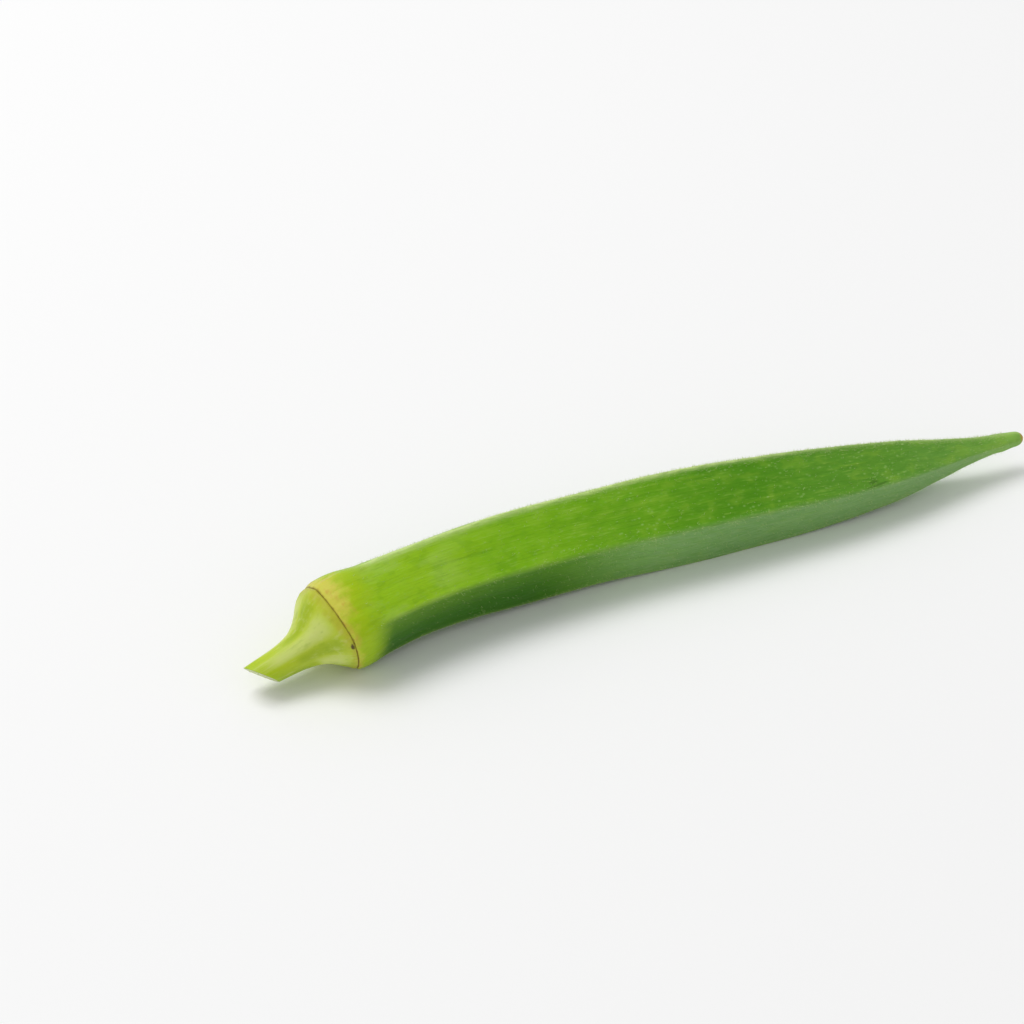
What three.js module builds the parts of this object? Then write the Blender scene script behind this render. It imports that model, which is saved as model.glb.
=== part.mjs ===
// One okra pod as picked, lying on one of its flat sides on a level surface.
// Lengths are millimetres. +Z is up and +X runs from the cut stem to the tip.
// The origin is on the surface, under the middle of the pod's bounding box.

import * as THREE from 'three';
import { LoftGeometry } from 'three/addons/geometries/LoftGeometry.js';

// Lengths along the centreline, measured from the scar ring.
const POD_LENGTH = 134.8;
const STEM_CAP_LENGTH = 14.1;
const RING_GAP = 0.3;

// The section: five ribs with nearly flat sides between them.
const RIBS = 5;
const TOP_RIB_ANGLE = Math.PI / 2;
const RIB_SHARPNESS = 26;
const SIDE_HOLLOW = 0.03;
const TIP_TWIST = THREE.MathUtils.degToRad(6);
const TWIST_START = 75;

// The top rib leans back, and the sides beside it follow by less the further round they are.
const TOP_RIB_LEAN = THREE.MathUtils.degToRad(7.2);
const LEAN_MIDDLE = THREE.MathUtils.degToRad(-10);
const LEAN_FALLOFF = 4;

// The stem is cut at a slant, longest on its upper back side.
const STEM_CUT_SLANT = THREE.MathUtils.degToRad(37);
const STEM_CUT_LONG_SIDE = THREE.MathUtils.degToRad(50);
const STEM_CUT_REACH = 7;

// The mesh: points around a section, sections along each piece, and how much they crowd at its ends.
const POINTS_AROUND = 8 * RIBS;
const POD_SECTIONS = 44;
const STEM_CAP_SECTIONS = 20;
const POD_END_CROWDING = 0.75;
const STEM_CAP_END_CROWDING = 0.3;

// The centreline bows gently sideways, and the stem droops towards the surface.
const CENTRELINE = [
  { x: -13.6, y: -2.5, z: 3.8 },
  { x: -6.4, y: -1.4, z: 5.6 },
  { x: 0, y: 0, z: 7.6 },
  { x: 6, y: 0.9, z: 8.4 },
  { x: 14.8, y: 2.3, z: 8.7 },
  { x: 32.8, y: 4.1, z: 8.2 },
  { x: 65.7, y: 3.6, z: 7.2 },
  { x: 99.5, y: 0.9, z: 6.5 },
  { x: 134.2, y: -0.7, z: 6.1 },
];

// Rib radius, and how far the section has gone from a circle (0) to five flat sides (1).
const POD_STATIONS = [
  { along: 0, radius: 8.2, ribbing: 0.35 },
  { along: 1.2, radius: 8.6, ribbing: 0.4 },
  { along: 3.5, radius: 8.7, ribbing: 0.5 },
  { along: 8, radius: 8.2, ribbing: 0.75 },
  { along: 15, radius: 7.8, ribbing: 0.9 },
  { along: 33, radius: 8.35, ribbing: 1 },
  { along: 53, radius: 8.65, ribbing: 1 },
  { along: 69, radius: 8.65, ribbing: 1 },
  { along: 85, radius: 7.9, ribbing: 1 },
  { along: 96, radius: 7.2, ribbing: 1 },
  { along: 107, radius: 5.75, ribbing: 0.95 },
  { along: 117, radius: 3.6, ribbing: 0.8 },
  { along: 127, radius: 2, ribbing: 0.5 },
  { along: 133.3, radius: 1.35, ribbing: 0.2 },
  { along: 134.4, radius: 0.85, ribbing: 0 },
  { along: 134.8, radius: 0.35, ribbing: 0 },
];

const STEM_CAP_STATIONS = [
  { along: -14.1, radius: 2.5, ribbing: 0 },
  { along: -10.6, radius: 2.75, ribbing: 0.1 },
  { along: -8.4, radius: 3.15, ribbing: 0.2 },
  { along: -6.2, radius: 3.8, ribbing: 0.3 },
  { along: -5, radius: 4.35, ribbing: 0.35 },
  { along: -3.9, radius: 5.1, ribbing: 0.35 },
  { along: -2.8, radius: 6.15, ribbing: 0.35 },
  { along: -1.7, radius: 7.15, ribbing: 0.35 },
  { along: -RING_GAP, radius: 8.1, ribbing: 0.35 },
];

const centreCurve = new THREE.CatmullRomCurve3(
  CENTRELINE.map((p) => new THREE.Vector3(p.x, p.y, p.z)),
);

// Position and axes of the section that lies a given length from the scar ring.
function frameAt(along) {
  const share = (along + STEM_CAP_LENGTH) / (POD_LENGTH + STEM_CAP_LENGTH);
  const centre = centreCurve.getPointAt(share);
  const forward = centreCurve.getTangentAt(share);
  const right = new THREE.Vector3(0, 0, 1).cross(forward).normalize();
  const up = forward.clone().cross(right);
  return { centre, forward, right, up };
}

// Slope of a station value, as a smooth curve through the stations has it there.
function slopeAt(stations, key, i) {
  const rate = (a, b) => (b[key] - a[key]) / (b.along - a.along);
  if (i === 0) {
    return rate(stations[0], stations[1]);
  }
  if (i === stations.length - 1) {
    return rate(stations[i - 1], stations[i]);
  }
  const before = rate(stations[i - 1], stations[i]);
  const after = rate(stations[i], stations[i + 1]);
  return before * after <= 0 ? 0 : (2 * before * after) / (before + after);
}

// One of the stations' values, anywhere along the piece, without overshoot between them.
function valueAt(stations, key, along) {
  let i = 0;
  while (i < stations.length - 2 && along > stations[i + 1].along) {
    i += 1;
  }
  const from = stations[i];
  const to = stations[i + 1];
  const span = to.along - from.along;
  const t = THREE.MathUtils.clamp((along - from.along) / span, 0, 1);
  const smooth = from[key] + (to[key] - from[key]) * t * t * (3 - 2 * t);
  const leave = slopeAt(stations, key, i) * span * t * (1 - t) * (1 - t);
  const arrive = slopeAt(stations, key, i + 1) * span * t * t * (1 - t);
  return smooth + leave - arrive;
}

// Distance of the five-sided outline from its centre, as a share of the rib radius.
function ribbedOutline(fromRib) {
  let sum = 0;
  for (let side = 0; side < RIBS; side += 1) {
    const facing = Math.cos(fromRib - ((side + 0.5) * 2 * Math.PI) / RIBS);
    sum += Math.max(0, facing) ** RIB_SHARPNESS;
  }
  return sum ** (-1 / RIB_SHARPNESS);
}

// How far round the section a point is drawn back by the leaning top rib.
function leanAt(fromRib) {
  return TOP_RIB_LEAN * ((1 + Math.cos(fromRib - LEAN_MIDDLE)) / 2) ** LEAN_FALLOFF;
}

// One closed section of the pod or of the stem cap.
function sectionAt(stations, along) {
  const { centre, forward, right, up } = frameAt(along);
  const radius = valueAt(stations, 'radius', along);
  const ribbing = valueAt(stations, 'ribbing', along);
  const tipShare = Math.max(0, along - TWIST_START) / (POD_LENGTH - TWIST_START);
  const points = [];
  for (let i = 0; i < POINTS_AROUND; i += 1) {
    const fromRib = (i * 2 * Math.PI) / POINTS_AROUND;
    const angle = fromRib + TOP_RIB_ANGLE + TIP_TWIST * tipShare - leanAt(fromRib);
    const hollow = 1 - (SIDE_HOLLOW * (1 - Math.cos(RIBS * fromRib))) / 2;
    const outline = (ribbedOutline(fromRib) / ribbedOutline(0)) * hollow;
    const reach = radius * THREE.MathUtils.lerp(1, outline, ribbing);
    const point = centre.clone();
    point.addScaledVector(right, reach * Math.cos(angle));
    point.addScaledVector(up, reach * Math.sin(angle));
    points.push(point);
  }
  return { points, centre, forward, right, up };
}

// Lengths along the piece, closer together at both ends where the shape turns fastest.
function spacing(start, end, count, crowding) {
  const lengths = [];
  for (let i = 0; i < count; i += 1) {
    const t = i / (count - 1);
    const eased = (1 - Math.cos(Math.PI * t)) / 2;
    lengths.push(THREE.MathUtils.lerp(start, end, THREE.MathUtils.lerp(t, eased, crowding)));
  }
  return lengths;
}

// The pod: a long five-ribbed fruit that tapers to a blunt tip.
function podGeometry() {
  const sections = [];
  for (const along of spacing(0, POD_LENGTH, POD_SECTIONS, POD_END_CROWDING)) {
    sections.push(sectionAt(POD_STATIONS, along).points);
  }
  return new LoftGeometry(sections, { closed: true, capStart: true, capEnd: true });
}

// The stem and the flared cap that it ends in. The cut's slant fades out along the stem.
function stemCapGeometry() {
  const sections = [];
  const lengths = spacing(-STEM_CAP_LENGTH, -RING_GAP, STEM_CAP_SECTIONS, STEM_CAP_END_CROWDING);
  for (const along of lengths) {
    const { points, centre, forward, right, up } = sectionAt(STEM_CAP_STATIONS, along);
    const nearCut = Math.max(0, 1 - (along + STEM_CAP_LENGTH) / STEM_CUT_REACH);
    const lean = Math.tan(STEM_CUT_SLANT) * nearCut;
    const longSide = right.clone().multiplyScalar(Math.cos(STEM_CUT_LONG_SIDE));
    longSide.addScaledVector(up, Math.sin(STEM_CUT_LONG_SIDE));
    for (const point of points) {
      const offset = point.clone().sub(centre).dot(longSide);
      point.addScaledVector(forward, -offset * lean);
    }
    sections.push(points);
  }
  return new LoftGeometry(sections, { closed: true, capStart: true, capEnd: true });
}

const podSkin = new THREE.MeshStandardMaterial({ color: 0x6f9a34, roughness: 0.55, metalness: 0 });
const stemCapSkin = new THREE.MeshStandardMaterial({ color: 0xb2c65a, roughness: 0.6, metalness: 0 });

const pod = new THREE.Mesh(podGeometry(), podSkin);
pod.name = 'pod';

const stemCap = new THREE.Mesh(stemCapGeometry(), stemCapSkin);
stemCap.name = 'stem_cap';

const okra = new THREE.Group();
okra.add(pod, stemCap);

// Bring the whole pod over the origin, with its lowest ribs on the surface.
const bounds = new THREE.Box3().setFromObject(okra);
const middle = bounds.getCenter(new THREE.Vector3());
okra.position.set(-middle.x, -middle.y, -bounds.min.z);

export default okra;
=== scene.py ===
"""A fresh okra pod lying on a pale surface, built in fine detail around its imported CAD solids."""

import math

import bpy
import numpy as np
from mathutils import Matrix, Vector


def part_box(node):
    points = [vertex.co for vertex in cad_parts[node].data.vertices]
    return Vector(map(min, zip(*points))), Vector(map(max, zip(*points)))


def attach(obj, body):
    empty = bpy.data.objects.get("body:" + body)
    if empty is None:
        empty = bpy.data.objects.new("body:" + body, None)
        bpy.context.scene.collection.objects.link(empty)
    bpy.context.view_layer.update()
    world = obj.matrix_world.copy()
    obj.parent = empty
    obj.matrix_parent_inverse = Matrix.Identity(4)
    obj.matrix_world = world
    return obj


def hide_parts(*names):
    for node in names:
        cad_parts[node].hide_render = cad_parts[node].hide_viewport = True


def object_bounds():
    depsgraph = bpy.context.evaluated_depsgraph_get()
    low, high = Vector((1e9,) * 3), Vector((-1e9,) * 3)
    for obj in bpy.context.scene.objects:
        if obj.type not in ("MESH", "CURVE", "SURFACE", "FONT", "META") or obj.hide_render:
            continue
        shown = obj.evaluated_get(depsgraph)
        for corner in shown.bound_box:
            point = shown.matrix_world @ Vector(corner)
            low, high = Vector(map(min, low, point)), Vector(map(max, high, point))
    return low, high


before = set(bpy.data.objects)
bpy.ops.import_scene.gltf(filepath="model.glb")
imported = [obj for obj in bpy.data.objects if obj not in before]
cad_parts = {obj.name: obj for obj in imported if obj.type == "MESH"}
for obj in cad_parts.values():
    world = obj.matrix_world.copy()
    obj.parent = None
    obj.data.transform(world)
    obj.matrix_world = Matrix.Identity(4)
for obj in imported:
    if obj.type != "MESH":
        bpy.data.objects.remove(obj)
CAD_LOW, CAD_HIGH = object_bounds()

MM = 0.001
SEED = 7
TURN = 2 * math.pi

# ---------------------------------------------------------------- the pod's shape, in millimetres
POD_LENGTH = 134.8
STEM_CAP_LENGTH = 14.1
RIBS = 5
TOP_RIB_ANGLE = math.pi / 2
RIB_SHARPNESS = 26
SIDE_HOLLOW = 0.03
TIP_TWIST = math.radians(6)
TWIST_START = 75
TOP_RIB_LEAN = math.radians(7.2)
LEAN_MIDDLE = math.radians(-10)
LEAN_FALLOFF = 4
STEM_CUT_SLANT = math.radians(37)
STEM_CUT_LONG_SIDE = math.radians(50)
STEM_CUT_REACH = 7

CENTRELINE = np.array(
    [
        (-13.6, -2.5, 3.8),
        (-6.4, -1.4, 5.6),
        (0, 0, 7.6),
        (6, 0.9, 8.4),
        (14.8, 2.3, 8.7),
        (32.8, 4.1, 8.2),
        (65.7, 3.6, 7.2),
        (99.5, 0.9, 6.5),
        (134.2, -0.7, 6.1),
    ]
)

# Each station: length along the pod, rib radius, ribbing from 0 for a circle to 1 for five flat sides.
RADIUS_COLUMN = 1
RIBBING_COLUMN = 2
POD_STATIONS = np.array(
    [
        (0, 8.2, 0.35),
        (1.2, 8.6, 0.4),
        (3.5, 8.7, 0.5),
        (8, 8.2, 0.75),
        (15, 7.8, 0.9),
        (33, 8.35, 1),
        (53, 8.65, 1),
        (69, 8.65, 1),
        (85, 7.9, 1),
        (96, 7.2, 1),
        (107, 5.75, 0.95),
        (117, 3.6, 0.8),
        (127, 2, 0.5),
        (133.3, 1.35, 0.2),
        (134.4, 0.85, 0),
        (134.8, 0.35, 0),
    ]
)
STEM_CAP_STATIONS = np.array(
    [
        (-14.1, 2.5, 0),
        (-10.6, 2.75, 0.1),
        (-8.4, 3.15, 0.2),
        (-6.2, 3.8, 0.3),
        (-5, 4.35, 0.35),
        (-3.9, 5.1, 0.35),
        (-2.8, 6.15, 0.35),
        (-1.7, 7.15, 0.35),
        (-0.3, 8.1, 0.35),
    ]
)


def catmull_rom(points, per_span=60):
    """Points along a centripetal Catmull-Rom curve through the given points."""
    ends = 2 * points[[0, -1]] - points[[1, -2]]
    padded = np.vstack([ends[:1], points, ends[1:]])
    curve = []
    for i in range(len(points) - 1):
        p0, p1, p2, p3 = padded[i : i + 4]
        d0, d1, d2 = (math.sqrt(np.linalg.norm(b - a)) for a, b in ((p0, p1), (p1, p2), (p2, p3)))
        m1 = ((p1 - p0) / d0 - (p2 - p0) / (d0 + d1) + (p2 - p1) / d1) * d1
        m2 = ((p2 - p1) / d1 - (p3 - p1) / (d1 + d2) + (p3 - p2) / d2) * d1
        t = np.linspace(0, 1, per_span, endpoint=False)[:, None]
        start = 2 * t**3 - 3 * t**2 + 1
        leave = t**3 - 2 * t**2 + t
        end = 3 * t**2 - 2 * t**3
        arrive = t**3 - t**2
        curve.append(start * p1 + leave * m1 + end * p2 + arrive * m2)
    curve.append(points[-1:])
    return np.vstack(curve)


CURVE = catmull_rom(CENTRELINE)
CURVE_STEPS = np.linalg.norm(np.diff(CURVE, axis=0), axis=1)
CURVE_ALONG = np.concatenate([[0], np.cumsum(CURVE_STEPS)])
CURVE_ALONG = CURVE_ALONG / CURVE_ALONG[-1] * (POD_LENGTH + STEM_CAP_LENGTH) - STEM_CAP_LENGTH


def centre_at(along):
    """Points of the centreline at these lengths along the pod."""
    return np.stack([np.interp(along, CURVE_ALONG, CURVE[:, k]) for k in range(3)], -1)


def axes_at(along):
    """Centre, forward, right and up of the sections at these lengths along the pod."""
    step = 0.4
    centre = centre_at(along)
    forward = centre_at(along + step) - centre_at(along - step)
    forward /= np.linalg.norm(forward, axis=-1, keepdims=True)
    right = np.cross([0, 0, 1], forward)
    right /= np.linalg.norm(right, axis=-1, keepdims=True)
    up = np.cross(forward, right)
    return centre, forward, right, up


def station_values(stations, column, along):
    """One station value at each length, on a smooth curve that doesn't overshoot between stations."""
    x = stations[:, 0]
    y = stations[:, column]
    rate = np.diff(y) / np.diff(x)
    slope = np.zeros(len(x))
    slope[0] = rate[0]
    slope[-1] = rate[-1]
    before = rate[:-1]
    after = rate[1:]
    same = before * after > 0
    slope[1:-1][same] = 2 * before[same] * after[same] / (before[same] + after[same])
    i = np.clip(np.searchsorted(x, along, side="right") - 1, 0, len(x) - 2)
    span = x[i + 1] - x[i]
    t = np.clip((along - x[i]) / span, 0, 1)
    smooth = y[i] + (y[i + 1] - y[i]) * t * t * (3 - 2 * t)
    leave = slope[i] * span * t * (1 - t) ** 2
    arrive = slope[i + 1] * span * t * t * (1 - t)
    return smooth + leave - arrive


def ribbed_outline(from_rib):
    """Distance of the five-sided outline from its centre, as a share of the rib radius."""
    sides = (np.arange(RIBS) + 0.5) * TURN / RIBS
    facing = np.maximum(0, np.cos(from_rib[..., None] - sides))
    outline = np.sum(facing**RIB_SHARPNESS, axis=-1) ** (-1 / RIB_SHARPNESS)
    at_rib = (2 * math.cos(math.pi / RIBS) ** RIB_SHARPNESS) ** (-1 / RIB_SHARPNESS)
    hollow = 1 - SIDE_HOLLOW * (1 - np.cos(RIBS * from_rib)) / 2
    return outline / at_rib * hollow


def waves(points, wavelength, count, seed):
    """A smooth random field, seldom beyond -1.5 to 1.5, summed from plane waves of about one wavelength."""
    rng = np.random.default_rng(SEED + seed)
    total = np.zeros(points.shape[:-1])
    for _ in range(count):
        direction = rng.normal(size=3)
        direction /= np.linalg.norm(direction)
        length = wavelength * rng.uniform(0.7, 1.4)
        total += np.sin(points @ direction * TURN / length + rng.uniform(0, TURN))
    return total / math.sqrt(count)


def bell(distance, width):
    """1 at no distance, falling smoothly to almost nothing at twice the width."""
    return np.exp(-((distance / width) ** 2))


def ease(value, start, end):
    """0 up to start, 1 from end, and a smooth rise between."""
    t = np.clip((value - start) / (end - start), 0, 1)
    return t * t * (3 - 2 * t)


# ---------------------------------------------------------------- the fine skin
# Points around each row and rows along each skin, and how strongly the points crowd at the ribs.
COLUMNS = 40 * RIBS
POD_ROWS = 380
STEM_CAP_ROWS = 150
RIB_CROWDING = 0.5
# The rows stop this far short of the scar ring and of the tip, and the tip is rounded over this length.
END_SPARE = 0.02
TIP_ROUNDING = 1.1
# The empty edge of the bake layout, as a share of its width.
BAKE_MARGIN = 0.01
COLUMN_ANGLES = np.arange(COLUMNS) * TURN / COLUMNS
FROM_RIB = COLUMN_ANGLES - RIB_CROWDING * np.sin(RIBS * COLUMN_ANGLES) / RIBS
SIDE_ANGLE = TURN / RIBS
TO_NEAREST_RIB = (FROM_RIB + SIDE_ANGLE / 2) % SIDE_ANGLE - SIDE_ANGLE / 2
# How far round each column is drawn back by the leaning top rib.
LEAN = TOP_RIB_LEAN * ((1 + np.cos(FROM_RIB - LEAN_MIDDLE)) / 2) ** LEAN_FALLOFF

# How much painted shade each side carries, from the one in front of the top rib round to the one behind it:
# darker green near the cap and a pale painted reflection beyond.
SIDE_SHADE = np.array([0, 1, 0.8, 0.55, 0.15])
# How far to either side of a rib two shades are blended, as a share of a side.
SHADE_BLEND = 0.07
# How pale and hairy each rib's crest is, from the top rib round the same way. The paleness is partly the
# crests' own colour and partly a painted highlight, strongest on the top rib.
RIB_PALENESS = np.array([1, 0.1, 0.35, 0.3, 0.5])
# The pale lines' widths, and how much broader the top rib's is near the cap, before and behind its crest.
# The top rib's broader band near the cap is a painted highlight.
CREST_WIDTH = 0.38
BROADER_BEFORE = 0.2
WIDTH_BEHIND = 0.4
BROADER_BEHIND = 0.5


def shade_around():
    """Each column's painted shade, blended across the ribs."""
    place = FROM_RIB / SIDE_ANGLE - 0.5
    side = np.floor(place).astype(int)
    share = ease(place - side, 0.5 - SHADE_BLEND, 0.5 + SHADE_BLEND)
    return SIDE_SHADE[side % RIBS] * (1 - share) + SIDE_SHADE[(side + 1) % RIBS] * share


def paleness_around():
    """Each column's crest paleness, partly a painted highlight, taken from its nearest rib."""
    return RIB_PALENESS[np.round(FROM_RIB / SIDE_ANGLE).astype(int) % RIBS]


def pale_crest_and_highlight(lengths, to_rib):
    """How pale the crests are, partly their own colour and partly a painted highlight: fine lines, a little
    broader on the top rib near the cap.
    """
    before_top_rib = FROM_RIB < SIDE_ANGLE / 2
    behind_top_rib = FROM_RIB > TURN - SIDE_ANGLE / 2
    near_cap = 1 - ease(lengths, 20, 95)
    width = np.where(before_top_rib[None, :], CREST_WIDTH + BROADER_BEFORE * near_cap, CREST_WIDTH)
    width = np.where(behind_top_rib[None, :], WIDTH_BEHIND + BROADER_BEHIND * near_cap, width)
    return paleness_around() * bell(to_rib, width)


def skin(stations, along, relief):
    """Rows of skin points at these lengths, in millimetres, and what their materials read there."""
    centre, forward, right, up = axes_at(along)
    radius = station_values(stations, RADIUS_COLUMN, along)[:, None]
    ribbing = station_values(stations, RIBBING_COLUMN, along)[:, None]
    reach = radius * (1 + ribbing * (ribbed_outline(FROM_RIB)[None, :] - 1))
    twist = TIP_TWIST * np.maximum(0, along - TWIST_START) / (POD_LENGTH - TWIST_START)
    angle = (FROM_RIB - LEAN)[None, :] + TOP_RIB_ANGLE + twist[:, None]
    across = reach * np.cos(angle)
    height = reach * np.sin(angle)
    lengths = np.broadcast_to(along[:, None], reach.shape)
    straight = np.stack([lengths, across, height], -1)
    to_rib = reach * np.abs(TO_NEAREST_RIB)[None, :]
    to_suture = reach * (SIDE_ANGLE / 2 - np.abs(TO_NEAREST_RIB))[None, :]
    grown = reach + relief(lengths, reach, to_rib, to_suture, straight)
    points = centre[:, None, :] + right[:, None, :] * (grown * np.cos(angle))[..., None]
    points = points + up[:, None, :] * (grown * np.sin(angle))[..., None]
    values = {
        "along": lengths,
        "to_rib": to_rib,
        "straight": straight,
        "shade": np.broadcast_to(shade_around(), reach.shape),
        "pale_rib_and_highlight": pale_crest_and_highlight(lengths, to_rib),
        "lobe": np.broadcast_to((1 - np.cos(RIBS * FROM_RIB)) / 2, reach.shape),
    }
    return points, values, (centre, forward, right, up)


# How far each feature of the skin stands out, or dips in, from the plain section.
RIB_RISE = 0.16
BESIDE_RIB_DIP = -0.06
SUTURE_DIP = -0.05
SEED_RISE = 0.06
POD_SWAY = 0.16
CREASE_RISE = 0.06
VEIN_RISE = 0.014
POD_EDGE_DIP = -0.08
TIP_RISE = 0.08
CAP_SWAY = 0.14
STRAND_RISE = 0.03
LIP_RISE = 0.1
LOBE_RISE = 0.24
CAP_EDGE_DIP = -0.09


def no_relief(lengths, reach, to_rib, to_suture, straight):
    """The plain section, as the CAD has it."""
    return np.zeros_like(lengths)


def pod_relief(lengths, reach, to_rib, to_suture, straight):
    """How far the pod's skin stands out from its plain section: ribs, sutures, seeds and wrinkles."""
    body = ease(lengths, 2, 12) * (1 - ease(lengths, 118, 131))
    stretched = straight * np.array([0.35, 1, 1])
    rib = RIB_RISE * bell(to_rib, 0.5) * body * (1 + 0.35 * waves(stretched, 7, 10, 1))
    beside_rib = BESIDE_RIB_DIP * bell(to_rib - 1.5, 0.7) * body
    suture = SUTURE_DIP * bell(to_suture, 0.4) * body
    seeds = SEED_RISE * waves(straight, 5.5, 14, 2) * body * ease(to_rib, 1, 2.4)
    sway = POD_SWAY * waves(straight * np.array([1, 0.4, 0.4]), 24, 8, 3) * body
    creases = CREASE_RISE * waves(straight * np.array([0.25, 1, 1]), 2.2, 16, 4)
    creases = creases * ease(lengths, 0, 1) * (1 - ease(lengths, 2, 9))
    veins = VEIN_RISE * waves(straight * np.array([0.06, 1, 1]), 0.9, 20, 5) * body
    edge = POD_EDGE_DIP * (1 - ease(lengths, -0.05, 0.35)) * (1 + 0.4 * waves(straight, 2.5, 12, 10))
    tip = TIP_RISE * waves(straight, 2.6, 12, 11) * ease(lengths, 124, 132)
    return rib + beside_rib + suture + seeds + sway + creases + veins + edge + tip


def stem_cap_relief(lengths, reach, to_rib, to_suture, straight):
    """How far the cap's skin stands out: soft lobes, the lip at the scar ring, and the stem's strands."""
    stem = 1 - ease(lengths, -9, -5)
    sway = CAP_SWAY * waves(straight, 9, 9, 6) * ease(lengths, -13, -8)
    sway = sway * (1 - ease(lengths, -1.5, -0.2))
    strands = STRAND_RISE * waves(straight * np.array([0.12, 1, 1]), 1.3, 18, 7) * (0.4 + 0.6 * stem)
    lip = LIP_RISE * bell(lengths + 0.8, 0.4) * (1 + 0.5 * waves(straight, 3, 10, 8))
    lobe = -LOBE_RISE * np.cos(RIBS * to_rib / reach) * bell(lengths + 4.6, 2.9)
    edge = CAP_EDGE_DIP * ease(lengths, -0.4, -0.02) * (1 + 0.4 * waves(straight, 2.5, 12, 12))
    return sway + strands + lip + lobe + edge


def frame_offset():
    """What moves the shape's own millimetres onto the CAD's pod, by its far corner and lowest point."""
    rows = 200
    pod, _, _ = skin(POD_STATIONS, np.linspace(0, POD_LENGTH, rows), no_relief)
    low = pod.reshape(-1, 3).min(0)
    high = pod.reshape(-1, 3).max(0)
    node_low, node_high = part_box("pod")
    return np.array([node_high.x / MM - high[0], node_high.y / MM - high[1], node_low.z / MM - low[2]])


OFFSET = frame_offset()


def add_skin_mesh(name, rows, values, node):
    """A closed mesh from rows of points: the first and last row are drawn together into one point."""
    inner = rows[1:-1].reshape(-1, 3)
    poles = np.array([rows[0].mean(0), rows[-1].mean(0)])
    vertices = (np.vstack([inner, poles]) + OFFSET) * MM
    vertices[:, 2] = np.maximum(vertices[:, 2], CAD_LOW.z)
    faces, corners = skin_faces(row_heights(rows))
    mesh = bpy.data.meshes.new(name)
    mesh.from_pydata(vertices.tolist(), [], faces)
    layout = mesh.uv_layers.new(name="OFBake")
    inset = np.array(corners) * (1 - 2 * BAKE_MARGIN) + BAKE_MARGIN
    layout.data.foreach_set("uv", inset.ravel())
    for key, value in values.items():
        add_attribute(mesh, key, value)
    mesh.shade_smooth()
    piece = bpy.data.objects.new(name, mesh)
    bpy.context.scene.collection.objects.link(piece)
    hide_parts(node)
    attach(piece, "root")
    return piece


def skin_faces(heights):
    """Faces between the rows, and where each face's corners lie on the bake layout."""
    count = len(heights)
    start_pole = (count - 2) * COLUMNS
    end_pole = start_pole + 1
    faces = []
    corners = []
    width = 1.0 / COLUMNS
    for i in range(count - 1):
        low = (i - 1) * COLUMNS
        high = i * COLUMNS
        for j in range(COLUMNS):
            k = (j + 1) % COLUMNS
            left = j * width
            right = left + width
            if i == 0:
                faces.append((start_pole, high + k, high + j))
                corners.append(((left + right) / 2, heights[0]))
                corners.append((right, heights[1]))
                corners.append((left, heights[1]))
            elif i == count - 2:
                faces.append((low + j, low + k, end_pole))
                corners.append((left, heights[i]))
                corners.append((right, heights[i]))
                corners.append(((left + right) / 2, heights[i + 1]))
            else:
                faces.append((low + j, low + k, high + k, high + j))
                corners.append((left, heights[i]))
                corners.append((right, heights[i]))
                corners.append((right, heights[i + 1]))
                corners.append((left, heights[i + 1]))
    return faces, corners


def row_heights(rows):
    """Each row's place on the bake layout, from the lengths between the rows."""
    steps = np.linalg.norm(np.diff(rows, axis=0), axis=-1).mean(1)
    heights = np.concatenate([[0], np.cumsum(steps)])
    return heights / heights[-1]


def add_attribute(mesh, key, value):
    """A point attribute that the materials read by name."""
    ends = np.stack([value[0].mean(0), value[-1].mean(0)])
    flat = np.concatenate([value[1:-1].reshape(-1, *value.shape[2:]), ends]).astype(np.float32)
    kind = "FLOAT_VECTOR" if flat.ndim == 2 else "FLOAT"
    attribute = mesh.attributes.new(key, kind, "POINT")
    attribute.data.foreach_set("vector" if flat.ndim == 2 else "value", flat.ravel())


def end_rows(rim, centre, shares, dish):
    """Rows that close an end: the rim at each share of its reach from the centre, moved by the dish."""
    shares = np.array(shares)[:, None, None]
    return centre + (rim - centre) * shares + dish


def make_pod():
    """The pod's skin, with rows crowded at the scar ring and round the blunt tip."""
    ring_end = 3
    body_end = 120
    tip_start = POD_LENGTH - TIP_ROUNDING
    ring_rows = 26
    taper_rows = 34
    tip_rows = 16
    body_rows = POD_ROWS - ring_rows - taper_rows - tip_rows
    round_off = np.sin(np.linspace(0, math.pi / 2, tip_rows))
    lengths = np.concatenate(
        [
            np.linspace(END_SPARE, ring_end, ring_rows, endpoint=False),
            np.linspace(ring_end, body_end, body_rows, endpoint=False),
            np.linspace(body_end, tip_start, taper_rows, endpoint=False),
            tip_start + (TIP_ROUNDING - END_SPARE) * round_off,
        ]
    )
    points, values, (centre, forward, _, _) = skin(POD_STATIONS, lengths, pod_relief)
    ring_shares = (0, 0.3, 0.6, 0.85, 0.96)
    tip_shares = (0.6, 0)
    tip_bulge = 0.03
    inside = end_rows(points[0], centre[0], ring_shares, 0)
    outside = end_rows(points[-1], centre[-1], tip_shares, forward[-1] * tip_bulge)
    rows = np.concatenate([inside, points, outside])
    values = {key: pad(value, len(ring_shares), len(tip_shares)) for key, value in values.items()}
    return add_skin_mesh("pod_skin", rows, values, "pod")


def pad(value, before, after):
    """The same values carried onto the rows that close the two ends."""
    return np.concatenate([value[:1]] * before + [value] + [value[-1:]] * after)


# Where the cut face's rows lie, from its middle (0) to its rim (1), closer together at the rind.
CUT_SHARES = (
    *(0, 0.06, 0.12, 0.18, 0.24, 0.3, 0.38, 0.46, 0.54),
    *(0.62, 0.7, 0.77, 0.83, 0.88, 0.92, 0.95, 0.975, 0.992),
)
# How the dried cut face has sunk: all of it, the pith the most, the rind the least, with a fine grain.
CUT_DIP = 0.05
PITH_DIP = 0.12
RIND_RISE = 0.1
GRAIN_RISE = 0.03


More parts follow.
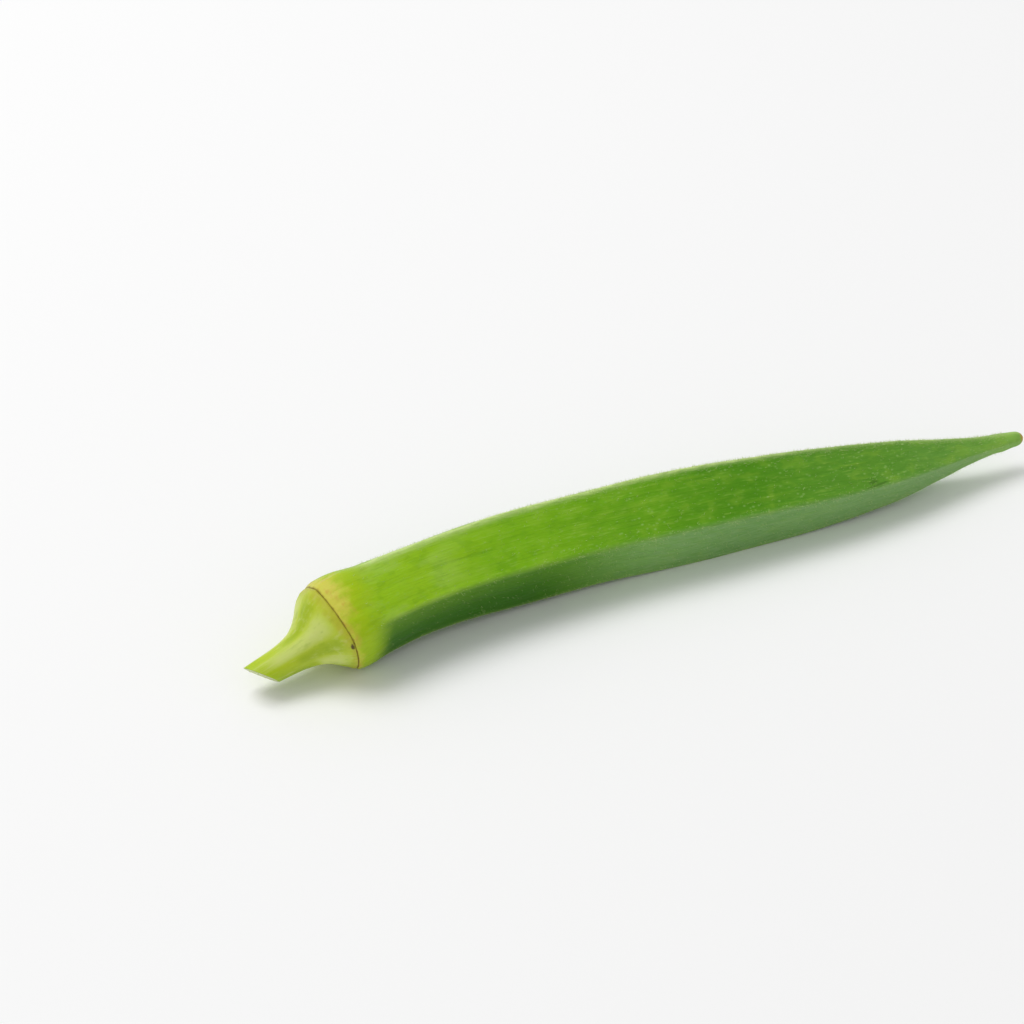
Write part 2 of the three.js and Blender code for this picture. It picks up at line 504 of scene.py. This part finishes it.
def make_stem_cap():
    """The cap's and stem's skin, with the cut face at one end and the scar ring at the other."""
    lip_start = -2
    lip_rows = 30
    lengths = np.concatenate(
        [
            np.linspace(-STEM_CAP_LENGTH, lip_start, STEM_CAP_ROWS - lip_rows, endpoint=False),
            np.linspace(lip_start, -END_SPARE, lip_rows),
        ]
    )
    points, values, (centre, forward, right, up) = skin(STEM_CAP_STATIONS, lengths, stem_cap_relief)
    near_cut = np.maximum(0, 1 - (lengths + STEM_CAP_LENGTH) / STEM_CUT_REACH)
    long_side = right * math.cos(STEM_CUT_LONG_SIDE) + up * math.sin(STEM_CUT_LONG_SIDE)
    offset = np.einsum("ijk,ik->ij", points - centre[:, None, :], long_side)
    lean = math.tan(STEM_CUT_SLANT) * near_cut[:, None]
    points = points - forward[:, None, :] * (offset * lean)[..., None]
    rim = points[0]
    # The direction straight out of the cut face, away from the pod.
    cut_out = -np.cross(rim[COLUMNS // 4] - centre[0], rim[0] - centre[0])
    cut_out /= np.linalg.norm(cut_out)
    cut_out *= -np.sign(cut_out @ forward[0])
    shares = np.array(CUT_SHARES)
    dish = RIND_RISE * bell(shares - 0.93, 0.06) - PITH_DIP * bell(shares, 0.22) - CUT_DIP
    grain = GRAIN_RISE * np.array([waves(rim * share, 0.7, 12, 9) for share in shares])
    height = dish[:, None] * (shares[:, None] < 0.99) + grain * (shares[:, None] < 0.95)
    cut = end_rows(rim, centre[0], shares, height[..., None] * cut_out)
    ring_shares = (0.96, 0.8, 0.4, 0)
    inside = end_rows(points[-1], centre[-1], ring_shares, 0)
    rows = np.concatenate([cut, points, inside])
    values = {key: pad(value, len(shares), len(ring_shares)) for key, value in values.items()}
    from_middle = np.ones(rows.shape[:2])
    from_middle[: len(shares)] = shares[:, None]
    values["from_middle"] = from_middle
    values["straight"] = values["straight"].copy()
    values["straight"][: len(shares)] *= shares[:, None, None]
    return add_skin_mesh("stem_cap_skin", rows, values, "stem_cap")


# ---------------------------------------------------------------- materials
def colour(red, green, blue):
    """A screen colour, 0 to 255, as the linear colour that a shader takes."""
    shares = np.array([red, green, blue]) / 255
    linear = np.where(shares <= 0.04045, shares / 12.92, ((shares + 0.055) / 1.055) ** 2.4)
    return (*linear.tolist(), 1.0)


class Shader:
    """One material's nodes, with short ways to add them."""

    def __init__(self, name):
        self.material = bpy.data.materials.new(name)
        self.material.use_nodes = True
        self.nodes = self.material.node_tree.nodes
        self.surface = self.nodes["Principled BSDF"]

    def join(self, source, socket):
        """Links a node's output, or sets a plain value."""
        if isinstance(source, bpy.types.NodeSocket):
            self.material.node_tree.links.new(source, socket)
        else:
            socket.default_value = source

    def set(self, socket_name, source):
        """Sets one of the surface's own values."""
        self.join(source, self.surface.inputs[socket_name])

    def read(self, key, output="Fac"):
        """A value that the mesh holds at its points."""
        node = self.nodes.new("ShaderNodeAttribute")
        node.attribute_name = key
        return node.outputs[output]

    def place(self):
        """The place on the straightened pod, in millimetres: along, across and up."""
        return self.read("straight", "Vector")

    def height(self):
        """Height over the straightened pod's middle, in millimetres."""
        node = self.nodes.new("ShaderNodeSeparateXYZ")
        self.join(self.place(), node.inputs[0])
        return node.outputs["Z"]

    def math(self, operation, a, b):
        """One sum of two values."""
        node = self.nodes.new("ShaderNodeMath")
        node.operation = operation
        self.join(a, node.inputs[0])
        self.join(b, node.inputs[1])
        return node.outputs[0]

    def times(self, a, b):
        """The product of two values."""
        return self.math("MULTIPLY", a, b)

    def vector_math(self, operation, a, b=(0, 0, 0), output="Vector"):
        """One sum of two vectors, or of one."""
        node = self.nodes.new("ShaderNodeVectorMath")
        node.operation = operation
        self.join(a, node.inputs[0])
        self.join(b, node.inputs[1])
        return node.outputs[output]

    def noise(self, fineness, detail=3, roughness=0.55):
        """Noise on the straightened pod, with its fineness along, across and up."""
        node = self.nodes.new("ShaderNodeTexNoise")
        self.join(self.vector_math("MULTIPLY", self.place(), fineness), node.inputs["Vector"])
        node.inputs["Scale"].default_value = 1
        node.inputs["Detail"].default_value = detail
        node.inputs["Roughness"].default_value = roughness
        return node.outputs["Fac"]

    def swing(self, noise, size):
        """Noise as a swing to either side of nothing, at most half the size each way."""
        return self.times(self.math("SUBTRACT", noise, 0.5), size)

    def specks(self, fineness, scale):
        """Distance to the nearest of many scattered points on the straightened pod."""
        node = self.nodes.new("ShaderNodeTexVoronoi")
        self.join(self.vector_math("MULTIPLY", self.place(), fineness), node.inputs["Vector"])
        node.inputs["Scale"].default_value = scale
        return node.outputs["Distance"]

    def near(self, place, spread, raggedness):
        """1 at one place on the straightened pod, falling to 0 at a ragged edge around it."""
        offset = self.vector_math("SUBTRACT", self.place(), place)
        scaled = self.vector_math("DIVIDE", offset, spread)
        distance = self.vector_math("LENGTH", scaled, output="Value")
        solid = 1.0
        clear = 1.6
        return self.ramp(self.math("ADD", distance, raggedness), clear, solid)

    def ramp(self, factor, low, high, start=0.0, end=1.0):
        """Maps low..high of the factor smoothly onto start..end."""
        node = self.nodes.new("ShaderNodeMapRange")
        node.interpolation_type = "SMOOTHSTEP"
        self.join(factor, node.inputs["Value"])
        node.inputs["From Min"].default_value = low
        node.inputs["From Max"].default_value = high
        node.inputs["To Min"].default_value = start
        node.inputs["To Max"].default_value = end
        return node.outputs["Result"]

    def colours(self, factor, stops):
        """A colour that changes along the factor through (place, screen colour) stops."""
        node = self.nodes.new("ShaderNodeValToRGB")
        node.color_ramp.interpolation = "EASE"
        points = node.color_ramp.elements
        while len(points) < len(stops):
            points.new(0.5)
        for point, (place, tint) in zip(points, stops):
            point.position = place
            point.color = colour(*tint)
        self.join(factor, node.inputs["Fac"])
        return node.outputs["Color"]

    def mix(self, factor, a, b):
        """Colour a, giving way to colour b as the factor rises from 0 to 1."""
        node = self.nodes.new("ShaderNodeMix")
        node.data_type = "RGBA"
        self.join(factor, node.inputs["Factor"])
        self.join(a, node.inputs["A"])
        self.join(b, node.inputs["B"])
        return node.outputs["Result"]

    def bump(self, height, distance, strength=1.0, normal=None):
        """A normal that follows the height, over a distance in metres."""
        node = self.nodes.new("ShaderNodeBump")
        node.inputs["Strength"].default_value = strength
        node.inputs["Distance"].default_value = distance
        self.join(height, node.inputs["Height"])
        if normal is not None:
            self.join(normal, node.inputs["Normal"])
        return node.outputs["Normal"]


# The skins' shared finish, with lengths in metres.
SHEEN_ROUGHNESS = 0.4
SUBSURFACE_SCALE = 0.001
STREAK_BUMP = 0.0001
DASH_BUMP = 0.00005
FIBRE_BUMP = 0.00006
SCAR_COLOUR = (136, 104, 40)


def add_scar(look, skin_colour, to_ring, ragged, outer, inner):
    """A ragged brown line at the ring, from one distance to another, fainter towards the top."""
    scar = look.ramp(look.math("ADD", to_ring, look.times(ragged, 0.8)), outer, inner)
    scar = look.times(scar, look.ramp(look.height(), 6, -2, 0.6, 0.95))
    return look.mix(scar, skin_colour, colour(*SCAR_COLOUR))


# In the ramps below, along, height, reach and to_ring are millimetres on the straightened pod.
# Noise, shade, lobe and middle run from 0 to 1.

# The pod's greens from the scar ring (0) to the tip (1).
POD_GREENS = (
    (0.0, (150, 196, 14)),
    (0.1, (148, 194, 22)),
    (0.25, (122, 178, 10)),
    (0.42, (102, 162, 12)),
    (0.56, (82, 144, 14)),
    (0.72, (92, 150, 38)),
    (0.86, (102, 156, 56)),
    (1.0, (136, 184, 78)),
)

# Short dark marks above the front rib, where the pod narrows: place, and half-size, on the straight pod.
SCRATCH_STRENGTH = 0.5
SCRATCHES = (
    ((101, -5.4, 2.55), (1.4, 0.8, 0.36)),
    ((101.4, -5.9, 2.15), (2.7, 0.7, 0.2)),
    ((96.8, -3.9, 4.9), (0.45, 0.6, 0.4)),
)


def pod_greens(look, along, streaks, dashes):
    """Bright yellow-green near the cap and darker to the tip, streaked, mottled and dashed, with a hazy
    painted highlight near the cap.
    """
    share = look.math("DIVIDE", along, POD_LENGTH)
    clouds = look.noise((0.05, 0.16, 0.16), 2)
    skin_colour = look.colours(look.math("ADD", share, look.swing(clouds, 0.12)), POD_GREENS)
    skin_colour = look.mix(look.ramp(streaks, 0.5, 0.75, 0, 0.25), skin_colour, colour(146, 190, 50))
    skin_colour = look.mix(look.ramp(streaks, 0.46, 0.3, 0, 0.12), skin_colour, colour(60, 120, 10))
    mottle = look.noise((0.3, 0.42, 0.42), 2)
    skin_colour = look.mix(look.ramp(mottle, 0.5, 0.68, 0, 0.22), skin_colour, colour(150, 190, 56))
    skin_colour = look.mix(look.ramp(mottle, 0.48, 0.34, 0, 0.18), skin_colour, colour(68, 130, 10))
    # A painted highlight: hazy pale patches near the cap.
    hazy_highlight = look.times(look.ramp(look.noise((0.09, 0.3, 0.3)), 0.46, 0.66), look.ramp(along, 34, 8))
    hazy_highlight = look.times(hazy_highlight, look.ramp(along, 3, 9, 0, 0.45))
    skin_colour = look.mix(hazy_highlight, skin_colour, colour(172, 206, 98))
    skin_colour = look.mix(look.ramp(dashes, 0.56, 0.72, 0, 0.3), skin_colour, colour(158, 198, 84))
    return look.mix(look.ramp(dashes, 0.44, 0.3, 0, 0.14), skin_colour, colour(58, 114, 12))


def add_painted_shade_and_reflection(look, skin_colour, along, shade, dashes):
    """Painted shade on the shaded sides: darker green near the cap, darkest towards the bottom, and a pale
    grey-green painted reflection beyond.
    """
    # Painted shade: darker green near the cap on the shaded sides, darkest towards the bottom.
    near_cap = look.times(look.ramp(along, 2.5, 8), look.ramp(along, 62, 34))
    painted_shade_near_cap = look.times(look.times(shade, near_cap), look.ramp(look.height(), 2.5, -4, 0.76, 1))
    skin_colour = look.mix(painted_shade_near_cap, skin_colour, colour(54, 108, 8))
    # Painted reflection: pale grey-green on the shaded sides beyond the cap, mottled and fading towards the
    # tip.
    painted_reflection = look.times(shade, look.ramp(along, 38, 62, 0, 0.66))
    painted_reflection = look.times(painted_reflection, look.ramp(dashes, 0.3, 0.7, 0.7, 1.2))
    painted_reflection = look.times(painted_reflection, look.ramp(along, 133, 116, 0.25, 1))
    return look.mix(painted_reflection, skin_colour, colour(134, 172, 112))


def add_crests_and_marks(look, skin_colour, along, shade, dashes):
    """Pale crests on the ribs, partly their own colour and partly a painted highlight, pale specks between
    them, and the dark scratches.
    """
    # The crest paleness is partly the ribs' own colour and partly a painted highlight, strongest on the top
    # rib.
    crest = look.times(look.read("pale_rib_and_highlight"), look.ramp(along, 2, 11, 0, 0.95))
    crest = look.times(crest, look.ramp(along, 100, 75, 0.35, 1))
    crest = look.times(crest, look.ramp(dashes, 0.35, 0.65, 0.65, 1.05))
    skin_colour = look.mix(crest, skin_colour, colour(212, 233, 152))
    patchy = look.ramp(look.noise((0.08, 0.2, 0.2), 1), 0.42, 0.58, 0.25, 1)
    speck = look.times(look.ramp(look.specks((0.7, 1, 1), 1.15), 0.3, 0.1), patchy)
    speck = look.times(speck, look.ramp(along, 25, 60, 0.12, 0.38))
    speck = look.times(speck, look.ramp(shade, 0, 1, 1, 0.4))
    skin_colour = look.mix(speck, skin_colour, colour(160, 200, 112))
    for place, spread in SCRATCHES:
        mark = look.times(look.near(place, spread, dashes), SCRATCH_STRENGTH)
        skin_colour = look.mix(mark, skin_colour, colour(56, 92, 22))
    return skin_colour


def add_pod_ends(look, skin_colour, along):
    """Yellow, then tan and rust towards the scar ring, the scar itself, and the browned tip."""
    ragged = look.noise((0.5, 0.5, 0.5), 4, 0.65)
    on_top = look.ramp(look.height(), 4, 8, 0, 1.8)
    reach = look.math("SUBTRACT", look.math("ADD", along, look.swing(ragged, 5)), on_top)
    skin_colour = look.mix(look.ramp(reach, 8, 0.5, 0, 0.6), skin_colour, colour(176, 198, 14))
    tan = look.ramp(reach, 2, -1, 0, 0.8)
    skin_colour = look.mix(tan, skin_colour, colour(218, 208, 86))
    rusty = look.times(tan, look.ramp(look.noise((0.6, 0.35, 0.35)), 0.5, 0.68, 0, 0.75))
    skin_colour = look.mix(rusty, skin_colour, colour(198, 154, 66))
    skin_colour = add_scar(look, skin_colour, along, ragged, 0.62, 0.36)
    past_end = look.math("SUBTRACT", look.math("ADD", along, look.times(ragged, 1.6)), POD_LENGTH)
    return look.mix(look.ramp(past_end, -0.3, 0.5, 0, 0.8), skin_colour, colour(190, 148, 66))


def pod_material():
    """Green okra skin: yellow at the scar ring, bright near the cap with a hazy painted highlight, darker to
    the tip, pale on the ribs with a painted highlight, and painted shade and a painted reflection on the
    shaded sides.
    """
    look = Shader("okra_pod_skin")
    along = look.read("along")
    shade = look.read("shade")
    streaks = look.noise((0.05, 1.3, 1.3), 4, 0.6)
    dashes = look.noise((0.4, 3.4, 3.4), 3, 0.5)
    skin_colour = pod_greens(look, along, streaks, dashes)
    skin_colour = add_painted_shade_and_reflection(look, skin_colour, along, shade, dashes)
    skin_colour = add_crests_and_marks(look, skin_colour, along, shade, dashes)
    skin_colour = add_pod_ends(look, skin_colour, along)
    look.set("Base Color", skin_colour)
    look.set("Roughness", look.ramp(streaks, 0.3, 0.7, 0.4, 0.52))
    look.set("Specular IOR Level", 0.16)
    look.set("Sheen Weight", 0.05)
    look.set("Sheen Roughness", SHEEN_ROUGHNESS)
    look.set("Sheen Tint", colour(220, 235, 190))
    look.set("Subsurface Weight", 0.06)
    look.set("Subsurface Radius", (0.4, 1.0, 0.1))
    look.set("Subsurface Scale", SUBSURFACE_SCALE)
    look.set("Normal", look.bump(dashes, DASH_BUMP, 1.0, look.bump(streaks, STREAK_BUMP)))
    return look.material


# The stem's and cap's greens from the cut end (0) to the scar ring (1).
STEM_CAP_GREENS = (
    (0.0, (176, 202, 20)),
    (0.3, (184, 206, 36)),
    (0.55, (188, 208, 46)),
    (0.8, (188, 208, 44)),
    (1.0, (184, 198, 44)),
)

# A small brown scab on the cap's lip: its place, and half-size, on the straight pod.
SCAB = ((-0.5, -7.7, 1.35), (0.36, 0.9, 0.75))


def stem_cap_greens(look, along, clouds, streaks):
    """Pale yellow-green, with a painted highlight on the lobes' crests and painted shade between them and
    under the stem.
    """
    share = look.math("DIVIDE", look.math("ADD", along, STEM_CAP_LENGTH), STEM_CAP_LENGTH)
    skin_colour = look.colours(look.math("ADD", share, look.swing(clouds, 0.4)), STEM_CAP_GREENS)
    lobe = look.read("lobe")
    # Painted shade: olive green on the stem's and cap's underside.
    under = look.times(look.ramp(look.height(), 1.2, -1.4), look.ramp(along, -4.5, -7))
    flare = look.times(look.ramp(along, -10, -7), look.ramp(along, -0.6, -2.4))
    # Painted shade: olive green in the valleys between the lobes.
    valley_shade = look.times(look.times(look.ramp(lobe, 0.55, 0), flare), 0.45)
    skin_colour = look.mix(valley_shade, skin_colour, colour(136, 166, 14))
    # Painted highlight: pale on the lobes' crests, kept off the painted shade underneath.
    bright = look.times(look.ramp(along, -13.8, -10), look.ramp(along, -0.6, -3))
    crest = look.times(look.ramp(lobe, 0.2, 1), look.times(bright, look.ramp(under, 0.6, 0)))
    skin_colour = look.mix(look.times(crest, 0.62), skin_colour, colour(216, 226, 142))
    skin_colour = look.mix(look.times(under, 0.55), skin_colour, colour(134, 166, 20))
    skin_colour = look.mix(look.ramp(streaks, 0.5, 0.72, 0, 0.4), skin_colour, colour(212, 220, 132))
    return look.mix(look.ramp(streaks, 0.46, 0.3, 0, 0.3), skin_colour, colour(140, 172, 14))


def add_cap_lip(look, skin_colour, along):
    """Tan at the lip, the scar beside it, and the small scab."""
    to_ring = look.times(along, -1)
    ragged = look.noise((0.6, 0.5, 0.5), 4, 0.6)
    tan = look.ramp(look.math("ADD", to_ring, look.swing(ragged, 3)), 1.4, 0.3, 0, 0.5)
    skin_colour = look.mix(tan, skin_colour, colour(186, 176, 56))
    skin_colour = add_scar(look, skin_colour, to_ring, ragged, 0.66, 0.38)
    scab = look.near(*SCAB, look.noise((2.2, 2.2, 2.2), 2))
    return look.mix(scab, skin_colour, colour(88, 74, 20))


def cut_flesh(look, middle, fibres):
    """The cut face: a pale pith in a greener edge, then fibres, and a green rind, dried in places."""
    flesh = look.mix(look.ramp(fibres, 0.4, 0.65), colour(220, 224, 184), colour(196, 210, 146))
    flesh = look.mix(look.ramp(middle, 0.3, 0.14), flesh, colour(230, 232, 208))
    pith_edge = look.times(look.ramp(middle, 0.2, 0.3), look.ramp(middle, 0.42, 0.3))
    flesh = look.mix(look.times(pith_edge, 0.4), flesh, colour(156, 178, 92))
    flesh = look.mix(look.ramp(middle, 0.84, 0.95, 0, 0.5), flesh, colour(146, 174, 66))
    dried = look.ramp(look.noise((0, 0.9, 0.9)), 0.5, 0.75, 0, 0.35)
    return look.mix(dried, flesh, colour(200, 184, 122))


def stem_cap_material():
    """Pale waxy yellow-green skin, browned at the scar ring, with a pale fibrous cut end."""
    look = Shader("okra_stem_cap_skin")
    along = look.read("along")
    middle = look.read("from_middle")
    clouds = look.noise((0.22, 0.3, 0.3), 2)
    streaks = look.noise((0.1, 1.1, 1.1), 4)
    fibres = look.noise((0, 2.6, 2.6), 3, 0.6)
    skin_colour = stem_cap_greens(look, along, clouds, streaks)
    skin_colour = add_cap_lip(look, skin_colour, along)
    on_cut = look.ramp(middle, 0.999, 0.975)
    look.set("Base Color", look.mix(on_cut, skin_colour, cut_flesh(look, middle, fibres)))
    look.set("Roughness", look.ramp(clouds, 0.3, 0.7, 0.38, 0.5))
    look.set("Specular IOR Level", 0.28)
    look.set("Sheen Weight", 0.04)
    look.set("Sheen Roughness", SHEEN_ROUGHNESS)
    look.set("Sheen Tint", colour(235, 240, 210))
    look.set("Subsurface Weight", 0.1)
    look.set("Subsurface Radius", (0.8, 1.2, 0.3))
    look.set("Subsurface Scale", SUBSURFACE_SCALE)
    look.set("Normal", look.bump(fibres, FIBRE_BUMP, 0.6, look.bump(streaks, STREAK_BUMP)))
    return look.material


def fuzz_material():
    """Pale dry hairs."""
    look = Shader("okra_fuzz")
    look.set("Base Color", colour(200, 218, 150))
    look.set("Roughness", 0.7)
    look.set("Specular IOR Level", 0.2)
    return look.material


# ---------------------------------------------------------------- fuzz, in millimetres
HAIRS = 9000
HAIR_ROWS = 1200
HAIR_SIDES = 3
HAIR_LENGTHS = (0.25, 0.62)
HAIR_RADII = (0.022, 0.036)
HAIR_SPREAD = 0.45
HAIR_LEAN_TO_TIP = 0.25
HAIR_ROOT_DEPTH = 0.04
HAIR_CHANCE_BETWEEN_RIBS = 0.05
HAIRY_WIDTH = 0.7
FLOOR_CLEARANCE = 0.9
BOX_SPARE = 0.35


def outward_directions(points):
    """The direction straight out of the skin at each of its points."""
    step_along = np.roll(points, -1, 0) - points
    step_round = np.roll(points, -1, 1) - points
    outward = np.cross(step_round, step_along)
    return outward / np.linalg.norm(outward, axis=-1, keepdims=True)


def hair_chances(points, values):
    """How likely a hair is at each point: mostly on the ribs, few at the ends, none near the floor."""
    on_rib = paleness_around() * bell(values["to_rib"], HAIRY_WIDTH)
    chance = HAIR_CHANCE_BETWEEN_RIBS + on_rib
    chance = chance * (0.45 + 0.55 * ease(values["along"], 10, 60))
    chance = chance * (1 - 0.8 * ease(values["along"], 95, 125))
    chance = chance * ((points[..., 2] + OFFSET[2]) > FLOOR_CLEARANCE)
    chance[-1] = 0
    return (chance / chance.sum()).ravel()


def make_fuzz():
    """Fine short hairs, thick along the ribs and thin between them, as closed slender cones."""
    rng = np.random.default_rng(SEED)
    first_hairs = 4
    last_hairs = 131
    lengths = np.linspace(first_hairs, last_hairs, HAIR_ROWS)
    points, values, _ = skin(POD_STATIONS, lengths, pod_relief)
    chance = hair_chances(points, values)
    picks = rng.choice(chance.size, HAIRS, replace=False, p=chance)
    root = points.reshape(-1, 3)[picks]
    normal = outward_directions(points).reshape(-1, 3)[picks]
    lean = rng.normal(0, HAIR_SPREAD, (HAIRS, 3)) + np.array([HAIR_LEAN_TO_TIP, 0, 0])
    direction = normal + lean
    direction /= np.linalg.norm(direction, axis=-1, keepdims=True)
    size = rng.uniform(*HAIR_LENGTHS, HAIRS)
    radius = rng.uniform(*HAIR_RADII, HAIRS)
    tip = root + direction * size[:, None] + OFFSET
    box_low = np.array(CAD_LOW) / MM - BOX_SPARE
    box_high = np.array(CAD_HIGH) / MM + BOX_SPARE
    inside = np.all((tip > box_low) & (tip < box_high), axis=1)
    side = np.cross(direction, rng.normal(size=(HAIRS, 3)))
    side /= np.linalg.norm(side, axis=-1, keepdims=True)
    other = np.cross(direction, side)
    turns = np.arange(HAIR_SIDES) * TURN / HAIR_SIDES
    vertices = []
    faces = []
    for n in np.flatnonzero(inside):
        base = root[n] - normal[n] * HAIR_ROOT_DEPTH
        first = len(vertices)
        for turn in turns:
            ring = side[n] * math.cos(turn) + other[n] * math.sin(turn)
            vertices.append(base + ring * radius[n])
        vertices.append(base + direction[n] * size[n])
        faces.append((first + 2, first + 1, first))
        for k in range(HAIR_SIDES):
            faces.append((first + k, first + (k + 1) % HAIR_SIDES, first + HAIR_SIDES))
    mesh = bpy.data.meshes.new("fuzz")
    mesh.from_pydata(((np.array(vertices) + OFFSET) * MM).tolist(), [], faces)
    piece = bpy.data.objects.new("fuzz", mesh)
    bpy.context.scene.collection.objects.link(piece)
    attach(piece, "root")
    mesh.materials.append(fuzz_material())


# ---------------------------------------------------------------- camera, floor and light, in metres
VIEW_AZIMUTH = math.radians(-24.8)
VIEW_ELEVATION = math.radians(37)
VIEW_DISTANCE = 0.42
VIEW_AIM = (CAD_LOW + CAD_HIGH) / 2 + Vector((-0.02766, -0.0044, 0.01416))
LENS_MM = 90
SENSOR_WIDTH_MM = 36
FLOOR_REACH = 4
FLOOR_COLOUR = (0.97, 0.97, 0.97, 1)
SKY_STRENGTH = 0.54
WINDOW_PLACE = (-0.45, 0.56, 1.45)
WINDOW_SIZE = 0.95
WINDOW_POWER = 13.5


def make_camera():
    """A long lens, from the stem's side and above, aimed so that the pod lies low in the picture."""
    back = Vector(
        (
            math.sin(VIEW_AZIMUTH) * math.cos(VIEW_ELEVATION),
            -math.cos(VIEW_AZIMUTH) * math.cos(VIEW_ELEVATION),
            math.sin(VIEW_ELEVATION),
        )
    )
    data = bpy.data.cameras.new("camera")
    data.lens = LENS_MM
    data.sensor_width = SENSOR_WIDTH_MM
    data.clip_start = 0.01
    data.clip_end = 20
    camera = bpy.data.objects.new("camera", data)
    camera.location = VIEW_AIM + back * VIEW_DISTANCE
    camera.rotation_mode = "QUATERNION"
    camera.rotation_quaternion = (-back).to_track_quat("-Z", "Y")
    bpy.context.scene.collection.objects.link(camera)
    bpy.context.scene.camera = camera


def make_floor():
    """A plain pale floor under the pod, level with the CAD's lowest point."""
    mesh = bpy.data.meshes.new("floor")
    signs = ((-1, -1), (1, -1), (1, 1), (-1, 1))
    corners = [(x * FLOOR_REACH, y * FLOOR_REACH, CAD_LOW.z) for x, y in signs]
    mesh.from_pydata(corners, [], [(0, 1, 2, 3)])
    look = Shader("floor")
    look.set("Base Color", FLOOR_COLOUR)
    look.set("Roughness", 0.85)
    look.set("Specular IOR Level", 0.1)
    mesh.materials.append(look.material)
    floor = bpy.data.objects.new("floor", mesh)
    bpy.context.scene.collection.objects.link(floor)


def make_light(name, place, size, power):
    """A square area light that faces the origin."""
    data = bpy.data.lights.new(name, "AREA")
    data.size = size
    data.energy = power
    light = bpy.data.objects.new(name, data)
    light.location = place
    light.rotation_mode = "QUATERNION"
    light.rotation_quaternion = (-Vector(place)).to_track_quat("-Z", "Y")
    bpy.context.scene.collection.objects.link(light)


def make_lighting():
    """Soft daylight: a pale sky all round, and a broad light above, behind and to the stem's side."""
    scene = bpy.context.scene
    scene.view_settings.view_transform = "Standard"
    world = bpy.data.worlds.new("sky")
    world.use_nodes = True
    sky = world.node_tree.nodes["Background"]
    sky.inputs["Color"].default_value = (1, 1, 1, 1)
    sky.inputs["Strength"].default_value = SKY_STRENGTH
    scene.world = world
    make_light("window_light", WINDOW_PLACE, WINDOW_SIZE, WINDOW_POWER)


make_camera()
make_floor()
make_lighting()
make_pod().data.materials.append(pod_material())
make_stem_cap().data.materials.append(stem_cap_material())
make_fuzz()
